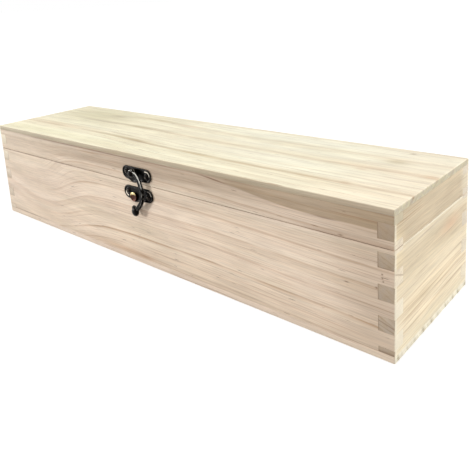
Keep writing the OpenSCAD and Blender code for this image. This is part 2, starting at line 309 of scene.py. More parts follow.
def make_world():
    world = bpy.data.worlds.new("studio")
    bpy.context.scene.world = world
    graph = Graph(world)
    background = graph.node("ShaderNodeBackground")
    background.inputs["Color"].default_value = WHITE
    graph.feed(background.inputs["Strength"], seen_directly(graph).ramp(0, 1, AMBIENT, 1))
    graph.finish(background, "ShaderNodeOutputWorld")


def make_floor():
    """A pale floor that the camera sees as white, with the object's soft shadow on it."""
    graph = new_graph("studio_floor")
    diffuse = graph.node("ShaderNodeBsdfDiffuse")
    diffuse.inputs["Color"].default_value = FLOOR_TONE
    glow = graph.node("ShaderNodeEmission")
    glow.inputs["Color"].default_value = WHITE
    x, y, _ = graph.object_mm()
    away = (x * x + y * y).ramp(FLOOR_NEAR ** 2, FLOOR_FAR ** 2, FLOOR_GLOW, FLOOR_FAR_GLOW)
    graph.feed(glow.inputs["Strength"], seen_directly(graph) * away)
    both = graph.node("ShaderNodeAddShader")
    graph.feed(both.inputs[0], diffuse.outputs[0])
    graph.feed(both.inputs[1], glow.outputs[0])
    mesh = bpy.data.meshes.new("floor")
    half = FLOOR_SIZE / 2
    corners = [(-half, -half, 0), (half, -half, 0), (half, half, 0), (-half, half, 0)]
    mesh.from_pydata(corners, [], [(0, 1, 2, 3)])
    mesh.materials.append(graph.finish(both))
    link("floor", mesh)


# ---- Pine ----

def srgb(r, g, b):
    """A colour given in 0 to 255, as the linear one that shaders take."""
    def linear(v):
        v = v / 255
        return v / 12.92 if v <= 0.04045 else ((v + 0.055) / 1.055) ** 2.4
    return (linear(r), linear(g), linear(b), 1)


# Colours of the wood: early wood, late wood, resin, which also paints shade in the saw cut, dull patches,
# and a pale colour for painted highlights on corners and seams and for pale patches
EARLY_PINK = srgb(249, 229, 208)
EARLY_CREAM = srgb(254, 249, 222)
EARLY_YELLOW = srgb(249, 234, 205)
LATE_BROWN = srgb(184, 143, 106)
LATE_OLIVE = srgb(170, 160, 130)
LATE_TAN = srgb(186, 154, 110)
DEEP_BROWN = srgb(146, 118, 90)
WARM_BROWN = srgb(148, 122, 84)
HAIR_RED = srgb(158, 112, 82)
RESIN_AND_SHADE = srgb(110, 74, 48)
ORANGE = srgb(206, 158, 112)
DULL = srgb(206, 190, 158)
PALE_AND_HIGHLIGHT = srgb(252, 243, 220)
# Cut fibres, and the patches on them
CUT_PALE = srgb(250, 238, 212)
CUT_WARM = srgb(255, 245, 218)
CUT_PINK = srgb(228, 212, 192)
CUT_GREY = srgb(180, 161, 141)
CUT_OLIVE = srgb(210, 205, 172)
CUT_LIGHT = srgb(255, 250, 228)
CUT_VIOLET = srgb(168, 156, 150)
# Stains on the top panel and on the right end
OLIVE = srgb(196, 190, 152)
OLIVE_BROWN = srgb(184, 162, 112)
PALE_LEMON = srgb(255, 254, 236)
YELLOW_GREEN = srgb(246, 243, 206)
SALMON = srgb(222, 160, 122)
HONEY = srgb(254, 232, 188)


def growth_line(g, height, soft, sharp, strength):
    """A late-wood line: it darkens over the width soft below its height and ends within sharp over it."""
    off = g - height
    away = (off * (1 / sharp)).max(off * (-1 / soft))
    return (away * -1).exp() * strength


def stripe(v, middle, half):
    """1 in the middle of a soft stripe, 0 outside it."""
    return ((v - middle) / half).bell()


def spot(place, middle, half):
    """1 in the middle of a soft oval, 0 outside it."""
    a, b = ((v - m) / h for v, m, h in zip(place, middle, half))
    return ((a * a + b * b) * -1).exp()


def stains(place, table):
    """Soft ovals on a face, each a middle, half sizes, a strength and a colour."""
    return [(spot(place, middle, half) * strength, shade) for middle, half, strength, shade in table]


class Board:
    """How one board is sawn: s runs along its grain, t over its face, u into its thickness."""

    # Late-wood lines: height, width of the soft side, width of the sharp side, strength
    lines = ()
    # The height on the growth rings at s, t, u, and how strongly the grain shows at s
    figure = calm = None
    # Stains on the faces and on the cut ends at x, y, z, each a factor and a colour
    marks = cut_marks = None
    late_tone = LATE_BROWN
    # How strongly the short dashes of resin show
    resin = 0.9
    # How strongly growth rings, pores and grey blotches show on the cut ends, and the rings' colour there
    ring_depth = 1.5
    pore_depth = 0.3
    blotch_depth = 0.35
    ring_tone = DEEP_BROWN

    def __init__(self, early, cut, along, seed, fine, **looks):
        """early and cut are colours, along is the way of the grain, and fine is how strong its fine
        lines are. looks sets any of the values above."""
        self.early, self.cut, self.along = early, cut, along
        self.seed, self.fine = seed, fine
        for key, value in looks.items():
            setattr(self, key, value)


# Where s, t and u run in x, y, z for each way of the grain
AXES = {"x": (0, 2, 1), "y": (1, 2, 0), "x_flat": (0, 1, 2)}


# Below, a coordinate of a noise is divided by the length of its lumps in millimetres, and a ramp's first
# two numbers say which share of the noise counts.

def ring_height(graph, board, s, t, u):
    """Height on the growth rings: the board's own figure with gentle wander."""
    wander = graph.noise(s / 110 + board.seed, t / 26, u / 26, detail=1) - 0.5
    ripple = graph.noise(s / 22 + board.seed, t / 7, u / 9, detail=1) - 0.5
    figure = board.figure(s, t, u) if board.figure else t + u * 0.35
    return figure + wander * 3.2 + ripple * 0.7


def late_wood(graph, board, g, s, t, u, calm, fine):
    """How much late wood shows: broad bands, fine rings, streaks and the board's own lines."""
    seed = board.seed
    band = graph.noise(g / 9 + seed, detail=1).ramp(0.3, 0.75)
    rings = graph.noise(g / 1.3 + seed * 3, detail=2, rough=0.6).ramp(0.48, 0.7)
    fade = graph.noise(s / 60 + seed * 2, t / 9, detail=1).ramp(0.3, 0.65)
    streaks = graph.noise(s / 38 + seed, g / 0.9, u / 5, detail=2).ramp(0.56, 0.74)
    late = band * 0.2 + (rings * fade + streaks) * fine
    for height, soft, sharp, strength in board.lines:
        breaks = graph.noise(s / 45 + height, g / 5 + seed, detail=2).ramp(0.2, 0.6, 0.45, 1)
        late = late.max(growth_line(g, height, soft, sharp, strength) * breaks * calm)
    return late


def resin_dashes(graph, seed, g, s, u, calm):
    """Resin canals: short dark dashes along the grain, one or none in each cell."""
    cells = graph.node("ShaderNodeTexVoronoi", feature="F1", voronoi_dimensions="3D")
    graph.feed(cells.inputs["Vector"], graph.vector(s / 20 + seed, g / 1.2, u / 1.2))
    cells.inputs["Scale"].default_value = 1
    pick = graph.node("ShaderNodeSeparateColor")
    graph.feed(pick.inputs[0], cells.outputs["Color"])
    size = Num(graph, pick.outputs[1]) * 0.15 + 0.05
    dash = (Num(graph, cells.outputs["Distance"]) / size).ramp(0.5, 1.0, 1, 0)
    return dash * (Num(graph, pick.outputs[0]).ramp(0.2, 0.85) * calm)


def face_colour(graph, board, place, s, t, u, g, late, fine):
    """Early wood with dull patches, late wood, the board's stains and fine red lines."""
    x, y, z = place
    seed = board.seed
    tone = graph.noise(s / 150 + seed, t / 34, u / 34, detail=2)
    colour = graph.mix(tone.ramp(0.3, 0.7) * 0.3, board.early, EARLY_YELLOW)
    dull = graph.noise(s / 60 + seed * 5, t / 12, u / 12, detail=2)
    colour = graph.mix(dull.ramp(0.45, 0.75) * 0.2, colour, DULL)
    colour = graph.mix(late, colour, board.late_tone)
    if board.marks:
        for factor, shade in board.marks(x, y, z):
            colour = graph.mix(factor, colour, shade)
    hairs = graph.noise(s / 75 + seed, g / 0.5, u / 4, detail=1).ramp(0.61, 0.74)
    colour = graph.mix(hairs * fine * 1.7, colour, HAIR_RED)
    # Painted highlight: the upright corners are paler, as where light catches them
    corner_x = x.abs().ramp(LENGTH / 2 - 0.4, LENGTH / 2 - 0.1)
    corner_y = y.abs().ramp(DEPTH / 2 - 3, DEPTH / 2 - 0.5)
    return graph.mix(corner_x * corner_y * 0.7, colour, PALE_AND_HIGHLIGHT)


def cut_colour(graph, board, place, s, t, u, late):
    """Cut ends: growth rings and open pores, and glue lines in the finger joints."""
    x, y, z = place
    pores = graph.noise(s / 3, t / 0.5, u / 0.5, detail=3, rough=0.7)
    blotch = graph.noise(t / 5, u / 4, board.seed, detail=2)
    colour = graph.mix(blotch.ramp(0.4, 0.65) * board.blotch_depth, board.cut, CUT_VIOLET)
    rings = late * board.ring_depth * blotch.ramp(0.3, 0.6, 1, 0.45)
    colour = graph.mix(rings + pores.ramp(0.35, 0.7) * board.pore_depth, colour, board.ring_tone)
    if board.cut_marks:
        for factor, shade in board.cut_marks(x, y, z):
            colour = graph.mix(factor, colour, shade)
    at_face = y.abs().ramp(DEPTH / 2 - 0.4, DEPTH / 2 - 0.1)
    glue = at_face * stripe(x.abs(), LENGTH / 2 - WALL, 0.45)
    return graph.mix(glue * 0.6, colour, RESIN_AND_SHADE)


def pine(name, board):
    """Raw sanded pine, in object coordinates, so the grain runs on through edges and end grain."""
    graph = new_graph("pine_" + name)
    place = graph.object_mm()
    axes = AXES[board.along]
    s, t, u = (place[axis] for axis in axes)
    seed = board.seed
    calm = board.calm(s) if board.calm else 1.0
    fine = board.fine * calm
    g = ring_height(graph, board, s, t, u)
    late = late_wood(graph, board, g, s, t, u, calm, fine)
    dashes = resin_dashes(graph, seed, g, s, u, calm)
    colour = face_colour(graph, board, place, s, t, u, g, late, fine)
    colour = graph.mix(dashes * board.resin, colour, RESIN_AND_SHADE)
    # Fibres, fine and long
    fibre = graph.noise(s / 16 + seed, t / 0.42, u / 0.42, detail=3, rough=0.62)
    coarse = graph.noise(s / 40 + seed, t / 1.6, u / 1.6, detail=2, rough=0.55)
    cloudy = graph.noise(s / 30 + seed, t / 8, u / 8, detail=2)
    light = fibre.ramp(0.25, 0.75, 0.88, 1.08) * coarse.ramp(0.25, 0.75, 0.95, 1.04)
    light = light * cloudy.ramp(0.3, 0.7, 0.95, 1.03)
    colour = graph.mix(1.0, colour, graph.grey(light), "MULTIPLY")
    cut = graph.coordinates("Normal")[axes[0]].abs().ramp(0.55, 0.85)
    colour = graph.mix(cut * 0.85, colour, cut_colour(graph, board, place, s, t, u, late))
    shader = graph.node("ShaderNodeBsdfPrincipled")
    graph.feed(shader.inputs["Base Color"], colour)
    graph.feed(shader.inputs["Roughness"], fibre.ramp(0.2, 0.8, 0.58, 0.74))
    shader.inputs["Specular IOR Level"].default_value = 0.3
    graph.bumped(shader, fibre + late * 0.8 - dashes * 0.8, 0.35, 0.05)
    return graph.finish(shader)


# Points this close, in metres, are one, and faces that meet this flat, in degrees, are joined
SAME_POINT = 1e-7
FLAT_ANGLE = 0.5
# Width of the boards' softened edges, and the angle in degrees from which an edge is softened
WOOD_BEVEL = 0.15
BEVEL_ANGLE = 30


def cad_mesh(node, join_flat=False):
    """A copy of a CAD node's mesh with its points joined, and its flat faces too if so asked."""
    mesh = frame["nodes"][node].data.copy()
    shape = bmesh.new()
    shape.from_mesh(mesh)
    bmesh.ops.remove_doubles(shape, verts=shape.verts, dist=SAME_POINT)
    if join_flat:
        flat = math.radians(FLAT_ANGLE)
        bmesh.ops.dissolve_limit(shape, angle_limit=flat, verts=shape.verts, edges=shape.edges)
    shape.to_mesh(mesh)
    shape.free()
    return mesh


def dressed(node, material):
    """A copy of a CAD node with softened edges, which stands for it and rides where it did."""
    mesh = cad_mesh(node, join_flat=True)
    mesh.name = "finished_" + node
    mesh.materials.clear()
    mesh.materials.append(material)
    mesh.shade_smooth()
    piece = link("finished_" + node, mesh)
    soften = piece.modifiers.new("soften", "BEVEL")
    soften.width = WOOD_BEVEL * MM
    soften.segments = 2
    soften.limit_method = "ANGLE"
    soften.angle_limit = math.radians(BEVEL_ANGLE)
    soften.harden_normals = True
    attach(piece, frame["nodes"][node]["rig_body"])
    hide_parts(node)
    return piece


# In the marks below, lengths are from the box's left end, back or front, and heights from the floor.

# Growth lines of the front wall, where they cross the middle of the box:
# height, width of the soft side, width of the sharp side, strength
FRONT_LINES = [
    (7.5, 0.8, 0.4, 0.36), (13.2, 0.7, 0.3, 0.6), (17.2, 0.5, 0.25, 0.3), (21.8, 1.0, 0.4, 0.95),
    (25.2, 0.5, 0.25, 0.4), (28.5, 0.4, 0.2, 0.28), (32.8, 0.4, 0.2, 0.56), (35.4, 0.4, 0.2, 0.44),
    (39.0, 0.4, 0.2, 0.3), (44.0, 1.0, 0.4, 0.56), (48.6, 0.5, 0.2, 0.3), (55.3, 1.5, 0.6, 0.66),
    (59.0, 0.4, 0.2, 0.36), (63.0, 0.5, 0.2, 0.34), (67.0, 0.5, 0.2, 0.34), (71.8, 0.9, 0.4, 0.6),
    (77.0, 0.6, 0.3, 0.3), (82.0, 0.8, 0.4, 0.4),
]
# Where the valley in the front wall's figure is deepest
VALLEY = 68


def front_figure(s, t, u):
    """The wavy figure of the front wall: its lines dip in a lopsided valley near the left end."""
    from_left = s + LENGTH / 2
    height = t + t.ramp(SEAM, LID_LOW, 0, KERF_LOST)
    off = from_left - VALLEY
    to_right = off / height.ramp(0, 60, 65, 42)
    to_left = off / height.ramp(35, 60, -60, -200)
    depth = height.ramp(50, 84, 19, 2)
    fall = from_left.ramp(250, 420, 0, 3.6)
    return height + to_right.max(to_left).bell() * depth + fall + (u + DEPTH / 2) * -0.3


def front_calm(s):
    """The grain is calmer in the valley at the left end."""
    return (s + LENGTH / 2).ramp(40, 140, 0.24, 1)


# Stains, specks and darker patches of the front wall, from its left end and from the floor; the patch at
# 230 from the left is painted shade that carries the hook's shadow further right
FRONT_STAINS = [
    ((182, 7), (34, 2.2), 0.4, ORANGE), ((203, 6.5), (8, 1.0), 0.5, LATE_BROWN),
    ((35, 5.2), (30, 0.5), 0.5, RESIN_AND_SHADE), ((374, 39), (1.4, 0.4), 0.7, RESIN_AND_SHADE),
    ((371, 65.3), (1.6, 0.4), 0.7, RESIN_AND_SHADE), ((391.7, 41), (0.7, 0.6), 0.7, RESIN_AND_SHADE),
    ((395.0, 49.4), (0.5, 0.5), 0.8, RESIN_AND_SHADE), ((395.1, 47.3), (0.5, 0.5), 0.7, RESIN_AND_SHADE),
    ((395.6, 45.5), (0.5, 0.5), 0.7, RESIN_AND_SHADE), ((230, 47), (16, 6), 0.14, DEEP_BROWN),
    ((374, 66), (30, 5), 0.16, DEEP_BROWN), ((300, 6), (90, 4), 0.14, DEEP_BROWN),
]


def front_seam(from_left, z):
    """The saw cut: painted shade in its gap at the left, painted highlights on its edges above and,
    faintly, below at the right, and a reddish line above at the right.
    """
    dark = from_left.ramp(112, 128, 0.42, 0.22) * from_left.ramp(310, 345, 1, 0)
    above = from_left.ramp(120, 220, 0, 0.35) * from_left.ramp(300, 330, 1, 0)
    return [
        (stripe(z, SEAM + 0.9, 0.6) * above, PALE_AND_HIGHLIGHT),
        (stripe(z, SEAM - 0.9, 0.7) * from_left.ramp(320, 350, 0, 0.1), PALE_AND_HIGHLIGHT),
        (stripe(z, LID_LOW + 0.3, 0.8) * from_left.ramp(335, 360, 0, 0.3), HAIR_RED),
        (stripe(z, SEAM, 0.55) * dark, RESIN_AND_SHADE),
    ]


def front_wedge(from_left, z):
    """A brown wedge under the top panel at the right, with a streak of resin where it starts."""
    edge = from_left.ramp(255, 350, TOP_UNDERSIDE - 0.5, 72.8)
    place = (z - edge, from_left)
    before = z.ramp(70, 78) * from_left.ramp(150, 240) * from_left.ramp(290, 320, 1, 0)
    return [
        (before * 0.2, DEEP_BROWN),
        ((z - edge).ramp(-0.3, 0.8) * from_left.ramp(250, 310) * 0.56, WARM_BROWN),
        (spot(place, (0, 278), (0.5, 12)) * 0.9, RESIN_AND_SHADE),
        (spot(place, (0, 360), (0.5, 9)) * 0.55, RESIN_AND_SHADE),
    ]


def front_marks(x, y, z):
    from_left = x + LENGTH / 2
    glue = growth_line(z, TOP_UNDERSIDE - 0.4, 0.6, 0.3, 0.95)
    glue = glue * from_left.ramp(20, 90, 0.3, 1) * from_left.ramp(190, 330, 1, 0.2)
    lid = z.ramp(SEAM - 4, LID_LOW + 8) * from_left.ramp(230, 380, 0.36, 0.16)
    lid = lid * from_left.ramp(20, 140, 0.65, 1)
    base = z.ramp(SEAM - 2, SEAM, 1, 0) * from_left.ramp(50, 150, 0.1, 0)
    return [
        (lid, DEEP_BROWN),
        (base + from_left.ramp(350, 392, 0, 0.3), DEEP_BROWN),
        *front_seam(from_left, z),
        (glue, RESIN_AND_SHADE),
        *front_wedge(from_left, z),
        *stains((from_left, z), FRONT_STAINS),
    ]


def front_cut(x, y, z):
    """Where the front wall's fingers show at the box's ends, the topmost is darker, the lowest are paler
    and one is cracked."""
    crack = z + (y + DEPTH / 2) * 0.42
    return [
        (z.ramp(74.5, 76) * 0.6, LATE_OLIVE),
        (z.ramp(34, 44, 0.35, 0), CUT_LIGHT),
        (stripe(crack, 51.2, 0.45) * 0.6, DEEP_BROWN),
    ]


def back_cut(x, y, z):
    """The back wall's fingers are greyer from the middle up, and so is one below."""
    low_finger = z.ramp(22, 25) * z.ramp(33, 36, 1, 0)
    return [(z.ramp(40, 44) * 0.34, CUT_VIOLET), (low_finger * 0.18, CUT_VIOLET)]


def left_cut(x, y, z):
    """The left end wall's fingers are paler in the lid."""
    return [(z.ramp(48, 66) * 0.7, CUT_PALE)]


# Growth lines of the top panel, by their distance from its back edge near the middle
TOP_LINES = [
    (23.0, 2.6, 2.4, 0.5), (33.5, 1.0, 0.6, 0.14), (47.5, 2.8, 2.2, 0.55), (61.5, 1.2, 0.6, 0.12),
    (66.8, 0.9, 0.7, 0.4), (79.2, 2.4, 2.0, 0.75), (84.0, 0.6, 0.4, 0.18), (88.0, 1.0, 0.4, 0.3),
    (95.0, 1.2, 0.6, 0.22),
]
# Stains of the top panel, from its left end and from its back edge
TOP_STAINS = [
    ((290, 12), (110, 10), 0.55, PALE_LEMON), ((290, 36), (100, 6), 0.4, PALE_LEMON),
    ((290, 59), (90, 9), 0.4, PALE_LEMON), ((320, 72), (70, 3), 0.3, PALE_LEMON),
    ((60, 92), (120, 9), 0.5, YELLOW_GREEN), ((55, 24), (52, 28), 0.55, OLIVE),
    ((85, 42), (34, 2.0), 0.3, DEEP_BROWN), ((135, 41), (20, 3.0), 0.35, OLIVE_BROWN),
    ((130, 15), (30, 3), 0.4, OLIVE_BROWN), ((80, 22), (10, 5), 0.25, DEEP_BROWN),
    ((155, 73), (32, 2.0), 0.4, OLIVE_BROWN), ((172, 76), (15, 1.5), 0.35, DEEP_BROWN),
    ((50, 70), (45, 4), 0.22, ORANGE), ((175, 20), (14, 3), 0.25, ORANGE),
    ((85, 61), (36, 1.1), 0.22, DEEP_BROWN), ((245, 78.5), (30, 1.8), 0.3, OLIVE_BROWN),
    ((368, 29), (7, 4), 0.4, OLIVE_BROWN), ((370, 8.5), (2.2, 1.4), 0.5, DEEP_BROWN),
    ((356, 52), (5, 2), 0.25, ORANGE), ((398, 47), (6, 3), 0.3, ORANGE),
    ((361, 79), (4, 2.2), 0.3, LATE_BROWN), ((365, 46), (40, 3), 0.2, ORANGE),
]


def top_figure(s, t, u):
    """Nearly straight lines, counted from the back edge, which drift to the back at the left."""
    from_left = s + LENGTH / 2
    drift = from_left.ramp(110, 235, 7, 0) + from_left.ramp(240, 360, 0, -1.2)
    return DEPTH / 2 - t + drift + (u - HEIGHT) * 1.4


def top_calm(s):
    """The grain is calmer at the left end, which is stained instead."""
    return (s + LENGTH / 2).ramp(80, 150, 0.55, 1)


def top_cut(x, y, z):
    """Grey and green blotches on the top panel's cut ends."""
    grey = y.graph.noise(y / 3.2, z / 2.6, 4.0).ramp(0.42, 0.62)
    green = y.graph.noise(y / 7, z / 5, 9.0).ramp(0.5, 0.7)
    return [(grey * 0.4, CUT_VIOLET), (green * 0.5, OLIVE)]


def on_front_face(y):
    """1 on the front face of a panel, 0 behind it."""
    return y.ramp(-DEPTH / 2, 0.6 - DEPTH / 2, 1, 0)


def top_marks(x, y, z):
    from_left, from_back = x + LENGTH / 2, DEPTH / 2 - y
    return [
        (from_left.ramp(325, 385, 0, 0.3), EARLY_PINK),
        *stains((from_left, from_back), TOP_STAINS),
        # Painted shade: the top panel's front face is darkened
        (on_front_face(y) * from_left.ramp(0, 140, 0.52, 0.59), DEEP_BROWN),
    ]


# Growth lines of the right end wall, by their height at the front corner
END_LINES = [
    (6.2, 1.2, 0.5, 0.5), (9.5, 0.7, 0.4, 0.4), (13.4, 1.2, 0.5, 0.7), (17.0, 0.7, 0.4, 0.4),
    (20.4, 1.1, 0.4, 0.72), (23.4, 1.0, 0.4, 0.75), (26.6, 0.8, 0.4, 0.45), (30.6, 0.9, 0.4, 0.6),
    (35.5, 0.7, 0.4, 0.25), (52.0, 0.8, 0.4, 0.2),
]


def end_figure(s, t, u):
    """Straight lines that rise a little to the back."""
    height = t + t.ramp(SEAM, LID_LOW, 0, KERF_LOST)
    return height - s.ramp(-DEPTH / 2, DEPTH / 2, 0, 3.5) + (u - LENGTH / 2) * 0.5


# Stains of the right end wall, from its front and from the floor
END_STAINS = [
    ((74, 53), (13, 4), 0.3, SALMON), ((2, 64), (8, 14), 0.4, HONEY), ((3, 20), (7, 6), 0.5, CUT_PALE),
]


def end_marks(x, y, z):
    from_front = y + DEPTH / 2
    return [
        (z.ramp(30, 36) * 0.2, DULL),
        (z.ramp(42, 46) * 0.26, DULL),
        (z.ramp(41, 48) * 0.14, DEEP_BROWN),
        (z.ramp(SEAM, LID_LOW) * 0.17, DEEP_BROWN),
        (stripe(z, SEAM - 3, 2) * 0.2, PALE_AND_HIGHLIGHT),
        # Painted highlight: a pale line just below the saw cut
        (stripe(z, SEAM - 0.2, 0.7) * 0.9, PALE_AND_HIGHLIGHT),
        (stripe(z, LID_LOW + 0.6, 0.6) * 0.15, DEEP_BROWN),
        *stains((from_front, z), END_STAINS),
        (z.ramp(3, 18, 0.3, 0), EARLY_CREAM),
        (from_front.ramp(86, 96) * z.ramp(LID_LOW, 72) * 0.35, PALE_AND_HIGHLIGHT),
    ]


def end_cut(x, y, z):
    """Dark lines on the right end wall's fingers: at the bottom panel, and slanting over the lowest but
    one."""
    slant = z + (x - LENGTH / 2 + WALL) * 0.3
    return [
        (z.ramp(5, 9, 0.3, 0) + z.ramp(64, 68) * 0.32, DEEP_BROWN),
        (z.ramp(14, 16) * z.ramp(25, 27, 1, 0) * 0.12, CUT_PINK),
        (stripe(z, 5.0, 0.5) * 0.7, RESIN_AND_SHADE),
        (stripe(slant, 23.0, 0.4) * 0.7, RESIN_AND_SHADE),
        (stripe(slant, 20.6, 0.3) * 0.45, RESIN_AND_SHADE),
        (stripe(z, 53.0, 0.4) * 0.4, RESIN_AND_SHADE),
    ]


# The bottom panel's growth rings, about 11 mm apart: they show as grey patches on its cut ends
BOTTOM_LINES = [
    (4.6 + 10.6 * k + math.sin(2.1 * k), 2.2, 1.8, 0.85 + 0.15 * math.sin(5 * k)) for k in range(10)
]


def bottom_figure(s, t, u):
    return t + DEPTH / 2 + u * 0.4


def bottom_marks(x, y, z):
    return [(on_front_face(y) * 0.15, CUT_VIOLET)]


def bottom_cut(x, y, z):
    """The upper edge of the bottom panel's cut ends is clean."""
    return [(z.ramp(2.2, 3.4) * 0.5, CUT_LIGHT)]


BOARDS = {
    "front": Board(
        EARLY_PINK, CUT_PALE, "x", 3.1, 0.24, lines=FRONT_LINES, figure=front_figure, calm=front_calm,
        marks=front_marks, cut_marks=front_cut, ring_depth=0.6, blotch_depth=0.22),
    "back": Board(
        EARLY_PINK, CUT_WARM, "x", 17.7, 0.26, cut_marks=back_cut, ring_depth=0.6, blotch_depth=0.15),
    "left": Board(EARLY_YELLOW, CUT_PINK, "y", 29.3, 0.26, cut_marks=left_cut, blotch_depth=0.15),
    "right": Board(
        EARLY_YELLOW, CUT_GREY, "y", 41.9, 0.24, lines=END_LINES, figure=end_figure, marks=end_marks,
        cut_marks=end_cut, late_tone=LATE_TAN, resin=0.3),
    "top": Board(
        EARLY_CREAM, CUT_OLIVE, "x_flat", 53.2, 0.27, lines=TOP_LINES, figure=top_figure, calm=top_calm,
        marks=top_marks, cut_marks=top_cut, late_tone=LATE_TAN, resin=0.6),
    "bottom": Board(
        EARLY_PINK, CUT_LIGHT, "x_flat", 67.4, 0.3, lines=BOTTOM_LINES, figure=bottom_figure,
        marks=bottom_marks, cut_marks=bottom_cut, ring_depth=1.6, pore_depth=0.08, blotch_depth=0.25,
        ring_tone=LATE_OLIVE),
}
BOARD_OF = {
    "base_front": "front", "lid_front": "front", "base_back": "back", "lid_back": "back",
    "base_left_end": "left", "lid_left_end": "left", "base_right_end": "right", "lid_right_end": "right",
    "lid_top": "top", "base_bottom": "bottom",
}


def make_boards():
    materials = {name: pine(name, board) for name, board in BOARDS.items()}
    for node, board in BOARD_OF.items():
        dressed(node, materials[board])


# ---- Metal shapes ----
# The metal pieces are built in the millimetres of their own mounting plane: u to the right, v up, h out of
# the wood. Overlapping closed shells are then remeshed into one cast skin. Their main sizes are the CAD
# model's.

latch_low, latch_high = node_box("latch_lid_plate")
LATCH_X = (latch_low.x + latch_high.x) / 2
# Latch plates: length, radius and middles of the ends, thickness, lobe, and places of the screws
PLATE_L = latch_high.x - latch_low.x
PLATE_END_R = 5.0
PLATE_LEFT = (PLATE_END_R - PLATE_L / 2, 0)
PLATE_RIGHT = (PLATE_L / 2 - PLATE_END_R, 0)
PLATE_T = 1.0
LOBE = (-4.2, -3.0)
LOBE_R = 4.0
PLATE_SCREWS = ((-11.0, 0.8), (11.0, -0.8))
LID_PLATE_Z = latch_high.z - PLATE_END_R
BASE_PLATE_Z = node_box("latch_base_plate")[1].z - PLATE_END_R
# How far the hollows between the lobe and the ends are filled, and a point well inside the plate
HOLLOW_FILLET = 0.5
HOLLOW_MOST = 0.25
PLATE_MIDDLE = (-1.5, -0.8)
# Section of the plate's rim and field, in millimetres inside the edge and in thicknesses
PLATE_SECTION = (
    (0.12, 0.0), (0.0, 0.15), (0.0, 0.62), (0.12, 0.84), (0.38, 0.98), (0.7, 1.0), (1.05, 0.93),
    (1.35, 0.72), (1.7, 0.62), (2.6, 0.6),
)
# The sunk field begins this far inside the edge, at this height
FIELD_INSET = 1.8
FIELD_H = PLATE_T * 0.62
# Rivet that the hook turns on, the boss that it stands in, and the catch on the base plate
RIVET = (-2.4, 0.8)
RIVET_R = 1.1
BOSS_R = 3.0
BOSS_H = 2.2
CATCH = (-4.8, -3.0)
# Clearance of the bores on the rivet
FIT = 0.05
# Hook: height of its back over the wood, thickness and width of its arm
HOOK_BACK = 2.4
HOOK_T = 2.1
HOOK_W = 3.5
HOOK_MIDDLE = HOOK_BACK + HOOK_T / 2
HOOK_FRONT = HOOK_BACK + HOOK_T
# Underside of the rivet's head
HEAD_H = HOOK_FRONT + 0.2
# Turned profiles, as radius and height from back to front: the flat seat round a screw, the boss and its
# bore, the rivet and the catch
SCREW_SEAT = ((2.2, 0.1), (2.3, 0.7), (2.15, 0.94), (1.9, 1.0))
BOSS = ((0, 0.1), (BOSS_R, 0.1), (BOSS_R, BOSS_H - 0.3), (BOSS_R - 0.3, BOSS_H), (0, BOSS_H))
RIVET_PROFILE = (
    (1.4, 0.08), (1.05, 0.6), (RIVET_R, 0.7), (RIVET_R, HEAD_H), (2.1, HEAD_H), (2.2, HEAD_H + 0.15),
    (1.9, HEAD_H + 0.55), (1.2, HEAD_H + 0.88), (0.4, HEAD_H + 0.98),
)
CATCH_PROFILE = (
    (1.4, 0.08), (1.05, 0.6), (RIVET_R, 0.7), (RIVET_R, 0.95), (2.8, 1.0), (2.8, 1.4), (3.45, 1.42),
    (3.6, 1.6), (3.45, 1.9), (3.1, 2.09), (2.7, 2.02), (2.4, 1.8), (1.2, 1.72),
)
CATCH_RIM_H = 2


def on_front(x, z):
    """The plane of the box's front, about a point of it."""
    turn = Matrix(((1, 0, 0), (0, 0, -1), (0, 1, 0))).to_4x4()
    return Matrix.Translation((x, -DEPTH / 2, z)) @ turn


def on_circle(centre, r, a, *rest):
    """A point of a circle at an angle, with what else belongs to it."""
    return (centre[0] + r * math.cos(a), centre[1] + r * math.sin(a), *rest)


class Shells:
    """Closed shells that together make one piece."""

    def __init__(self):
        self.points, self.faces = [], []

    def rings(self, rings):
        """A shell through rings of equally many points, closed at both ends by their middles."""
        first, count = len(self.points), len(rings[0])
        for ring in rings:
            self.points += [Vector(p) for p in ring]
        for low in range(first, first + count * (len(rings) - 1), count):
            for i in range(count):
                j = (i + 1) % count
                self.faces.append((low + i, low + j, low + count + j, low + count + i))
        last = first + count * (len(rings) - 1)
        for ring, start, flip in ((rings[0], first, True), (rings[-1], last, False)):
            middle = len(self.points)
            self.points.append(sum((Vector(p) for p in ring), Vector()) / count)
            for i in range(count):
                j = (i + 1) % count
                side = (start + j, start + i, middle) if flip else (start + i, start + j, middle)
                self.faces.append(side)

    def turned(self, centre, profile, count=72):
        """A turned shape about an axis out of the wood. The profile goes from back to front."""
        rings = []
        for r, h in profile:
            angles = (math.tau * k / count for k in range(count))
            rings.append([on_circle(centre, r, a, h) for a in angles])
        self.rings(rings)

    def ring(self, centre, inner, profile, count=72):
        """A turned shape with a bore of the radius inner: the profile goes round its section."""
        first, size = len(self.points), len(profile)
        for k in range(count):
            a = math.tau * k / count
            self.points += [Vector(on_circle(centre, max(r, inner), a, h)) for r, h in profile]
        for k in range(count):
            here, there = first + k * size, first + (k + 1) % count * size
            for i in range(size):
                j = (i + 1) % size
                self.faces.append((here + i, there + i, there + j, here + j))


def segment_distance(p, a, b):
    run = (b[0] - a[0], b[1] - a[1])
    off = (p[0] - a[0], p[1] - a[1])
    along = (off[0] * run[0] + off[1] * run[1]) / (run[0] ** 2 + run[1] ** 2)
    along = min(1, max(0, along))
    return math.hypot(off[0] - run[0] * along, off[1] - run[1] * along)


